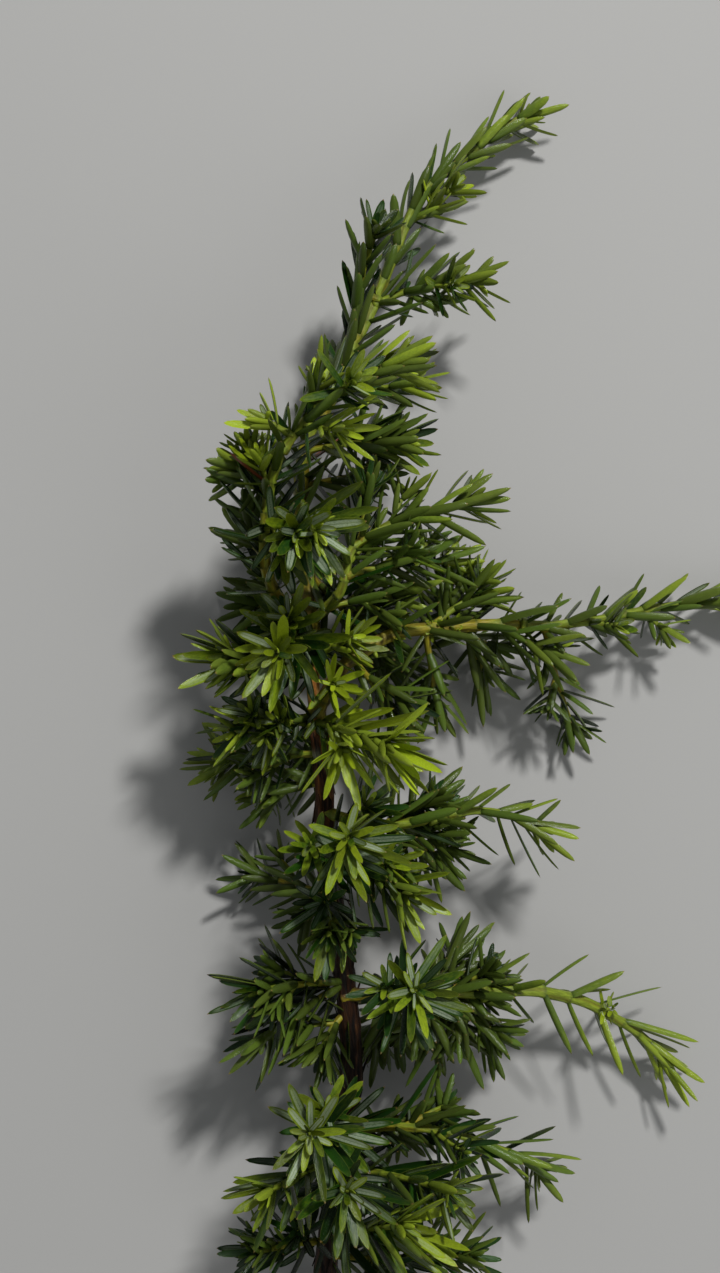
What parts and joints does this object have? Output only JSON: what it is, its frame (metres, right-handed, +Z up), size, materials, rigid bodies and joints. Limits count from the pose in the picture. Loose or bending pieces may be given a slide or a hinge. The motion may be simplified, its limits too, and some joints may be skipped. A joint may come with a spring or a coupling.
{
  "type": "juniper sprig",
  "caption": "Cut juniper sprig lying on its side: a woody stem with forked young stems and short leafy shoots, covered in sharp needles set in whorls.",
  "frame": {"origin": "on the surface that the sprig lies on, under the middle of its bounding box", "axes": "+Y from the cut end towards the leader's tip, +X towards the long right branch, +Z up from the surface"},
  "size_m": [0.1051, 0.2327, 0.0526],
  "materials": {
    "bark_old": "red-brown bark in thin flakes, satin",
    "bark_young": "smooth ridged yellow-green to orange-brown bark",
    "needles_old": "waxy dark green needles with a pale band on their upper face",
    "needles_young": "waxy yellow-green needles with a pale band on their upper face"
  },
  "bodies": {
    "root": {"main_stem": "bark_old", "leader_stem": "bark_young", "left_stem": "bark_young", "right_branch": "bark_young", "middle_stem": "bark_young", "low_stem": "bark_young", "leader_tip": "needles_young", "left_stem_tip": "needles_young", "right_branch_tip": "needles_young", "middle_stem_tip": "needles_young", "low_stem_tip": "needles_young", "right_upper": "needles_young", "base_outer": "needles_young", "top_left": "needles_old", "top_right": "needles_young", "upper_right": "needles_old", "upper_right_back": "needles_old", "leader_back": "needles_old", "middle_right_back": "needles_old", "left_back": "needles_old", "fork_front": "needles_old", "left_low": "needles_old", "left_front": "needles_old", "left_top": "needles_young", "right_upper_mid": "needles_old", "right_upper_low": "needles_old", "branch_front": "needles_young", "branch_upper": "needles_old", "branch_low_inner": "needles_old", "branch_low_middle": "needles_old", "branch_low_outer": "needles_old", "branch_low_tip": "needles_old", "left_upper": "needles_old", "left_middle": "needles_old", "left_middle_low": "needles_old", "left_lower": "needles_old", "left_bend": "needles_old", "left_dense": "needles_old", "left_dense_low": "needles_old", "front_middle": "needles_young", "front_hanging": "needles_old", "front_young": "needles_young", "middle_top": "needles_old", "middle_low": "needles_old", "low_top": "needles_old", "low_top_outer": "needles_old", "low_front": "needles_old", "low_bottom_outer": "needles_old", "low_bottom": "needles_old", "low_bottom_inner": "needles_old", "base_top": "needles_old", "base_front_left": "needles_young", "base_left": "needles_young", "base_front": "needles_old", "base_right": "needles_young", "base_low": "needles_young", "base_left_low": "needles_old", "base_right_low": "needles_old", "base_back": "needles_old"}
  },
  "joints": []
}
